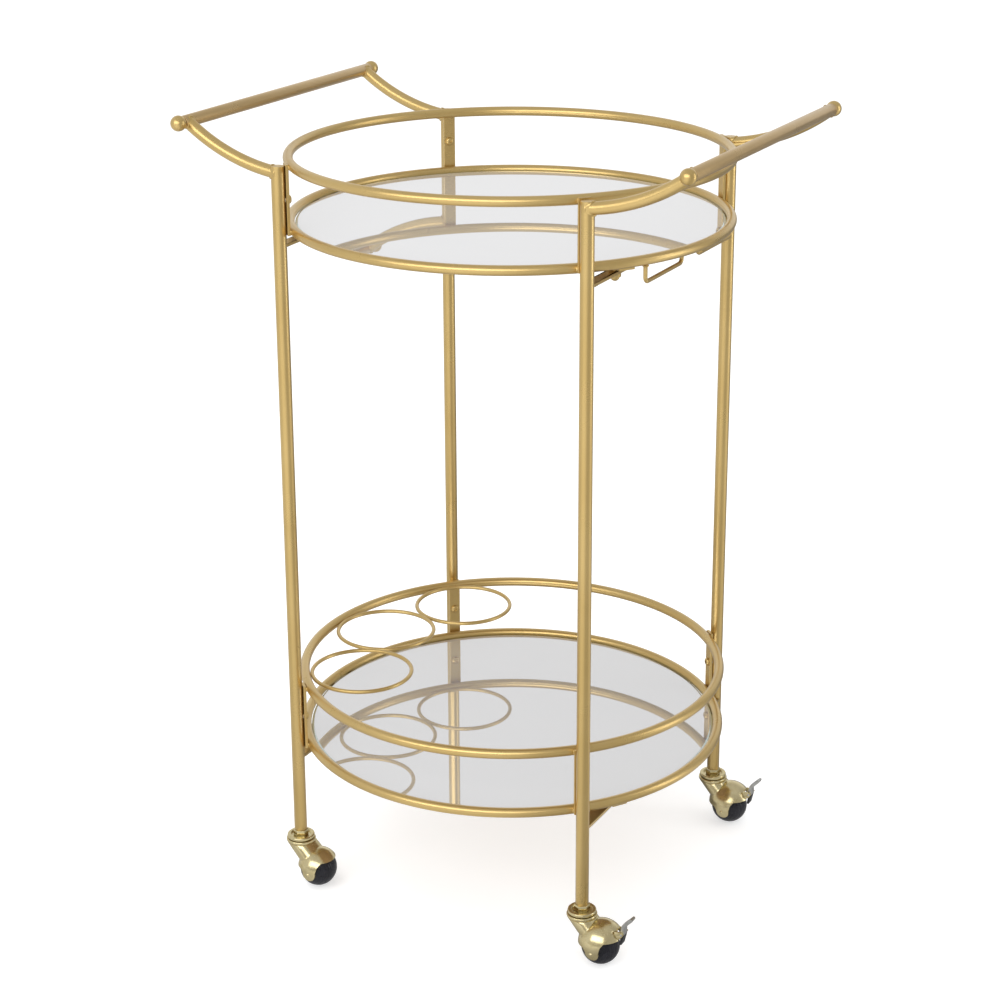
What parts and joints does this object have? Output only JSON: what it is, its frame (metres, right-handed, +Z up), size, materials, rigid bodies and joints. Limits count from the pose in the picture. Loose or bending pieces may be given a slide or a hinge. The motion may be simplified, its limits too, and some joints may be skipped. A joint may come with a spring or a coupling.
{
  "type": "bar cart",
  "caption": "Round two-tier bar cart with mirrored shelves, wire bottle rings, curved-arm push handles and hooded ball casters.",
  "frame": {"origin": "on the floor under the centre of the trays", "axes": "+Z up, +X to the right-hand handle (the side with the brakes and glass rails), +Y to the back"},
  "size_m": [0.53, 0.4294, 0.7785],
  "materials": {
    "gold_paint": "satin champagne gold metallic paint",
    "polished_brass": "polished brass plate",
    "ball_black": "moulded black plastic, slightly glossy",
    "mirror_glass": "silvered glass with a polished bevelled edge",
    "backing_board": "plain brown fibreboard",
    "zinc_steel": "zinc plated",
    "brake_steel": "bare pressed steel"
  },
  "bodies": {
    "frame": {"leg_front_left": "gold_paint", "handle_arm_front_left": "gold_paint", "leg_rear_left": "gold_paint", "handle_arm_rear_left": "gold_paint", "leg_front_right": "gold_paint", "handle_arm_front_right": "gold_paint", "leg_rear_right": "gold_paint", "handle_arm_rear_right": "gold_paint", "leg_caps": "gold_paint", "handle_bar_left": "gold_paint", "crossbar_top_left": "gold_paint", "crossbar_lower_left": "gold_paint", "handle_bar_right": "gold_paint", "crossbar_top_right": "gold_paint", "crossbar_lower_right": "gold_paint", "handle_ball_ends": "gold_paint", "top_tray_rail": "gold_paint", "top_tray_base_ring": "gold_paint", "top_tray_straps": "gold_paint", "top_tray_tabs": "gold_paint", "top_tray_supports": "gold_paint", "top_mirror": "mirror_glass", "top_mirror_backing": "backing_board", "lower_tray_rail": "gold_paint", "lower_tray_base_ring": "gold_paint", "lower_tray_straps": "gold_paint", "lower_tray_tabs": "gold_paint", "lower_tray_supports": "gold_paint", "lower_mirror": "mirror_glass", "lower_mirror_backing": "backing_board", "bottle_ring_front": "gold_paint", "bottle_ring_middle": "gold_paint", "bottle_ring_rear": "gold_paint", "glass_rail_front": "gold_paint", "glass_rail_rear": "gold_paint", "tray_studs": "zinc_steel", "tray_spacers": "gold_paint", "tray_cap_nuts": "gold_paint", "tray_screws": "gold_paint", "rivet_nuts": "zinc_steel", "leg_thread_inserts": "zinc_steel", "caster_stems": "zinc_steel", "caster_nuts": "zinc_steel", "caster_cups": "polished_brass"},
    "caster_front_left": {"caster_hood_front_left": "polished_brass", "caster_axle_front_left": "polished_brass"},
    "ball_front_left": {"caster_ball_front_left": "ball_black"},
    "caster_rear_left": {"caster_hood_rear_left": "polished_brass", "caster_axle_rear_left": "polished_brass"},
    "ball_rear_left": {"caster_ball_rear_left": "ball_black"},
    "caster_front_right": {"caster_hood_front_right": "polished_brass", "caster_axle_front_right": "polished_brass", "brake_pin_front_right": "zinc_steel"},
    "ball_front_right": {"caster_ball_front_right": "ball_black"},
    "brake_front_right": {"brake_lever_front_right": "brake_steel"},
    "caster_rear_right": {"caster_hood_rear_right": "polished_brass", "caster_axle_rear_right": "polished_brass", "brake_pin_rear_right": "zinc_steel"},
    "ball_rear_right": {"caster_ball_rear_right": "ball_black"},
    "brake_rear_right": {"brake_lever_rear_right": "brake_steel"}
  },
  "joints": [
    {"name": "swivel_front_left", "type": "hinge", "parent": "frame", "child": "caster_front_left", "pos_m": [-0.1584, -0.1584, 0.048], "axis": [0, 0, 1], "continuous": true},
    {"name": "roll_front_left", "type": "hinge", "parent": "caster_front_left", "child": "ball_front_left", "pos_m": [-0.1384, -0.1584, 0.0185], "axis": [0, 1, 0], "continuous": true},
    {"name": "swivel_rear_left", "type": "hinge", "parent": "frame", "child": "caster_rear_left", "pos_m": [-0.1584, 0.1584, 0.048], "axis": [0, 0, 1], "continuous": true},
    {"name": "roll_rear_left", "type": "hinge", "parent": "caster_rear_left", "child": "ball_rear_left", "pos_m": [-0.1384, 0.1584, 0.0185], "axis": [0, 1, 0], "continuous": true},
    {"name": "swivel_front_right", "type": "hinge", "parent": "frame", "child": "caster_front_right", "pos_m": [0.1584, -0.1584, 0.048], "axis": [0, 0, 1], "continuous": true},
    {"name": "roll_front_right", "type": "hinge", "parent": "caster_front_right", "child": "ball_front_right", "pos_m": [0.1784, -0.1584, 0.0185], "axis": [0, 1, 0], "continuous": true},
    {"name": "brake_front_right", "type": "hinge", "parent": "caster_front_right", "child": "brake_front_right", "pos_m": [0.2022, -0.1584, 0.0375], "axis": [0, 1, 0], "range_deg": [0, 28]},
    {"name": "swivel_rear_right", "type": "hinge", "parent": "frame", "child": "caster_rear_right", "pos_m": [0.1584, 0.1584, 0.048], "axis": [0, 0, 1], "continuous": true},
    {"name": "roll_rear_right", "type": "hinge", "parent": "caster_rear_right", "child": "ball_rear_right", "pos_m": [0.1784, 0.1584, 0.0185], "axis": [0, 1, 0], "continuous": true},
    {"name": "brake_rear_right", "type": "hinge", "parent": "caster_rear_right", "child": "brake_rear_right", "pos_m": [0.2022, 0.1584, 0.0375], "axis": [0, 1, 0], "range_deg": [0, 28]}
  ]
}
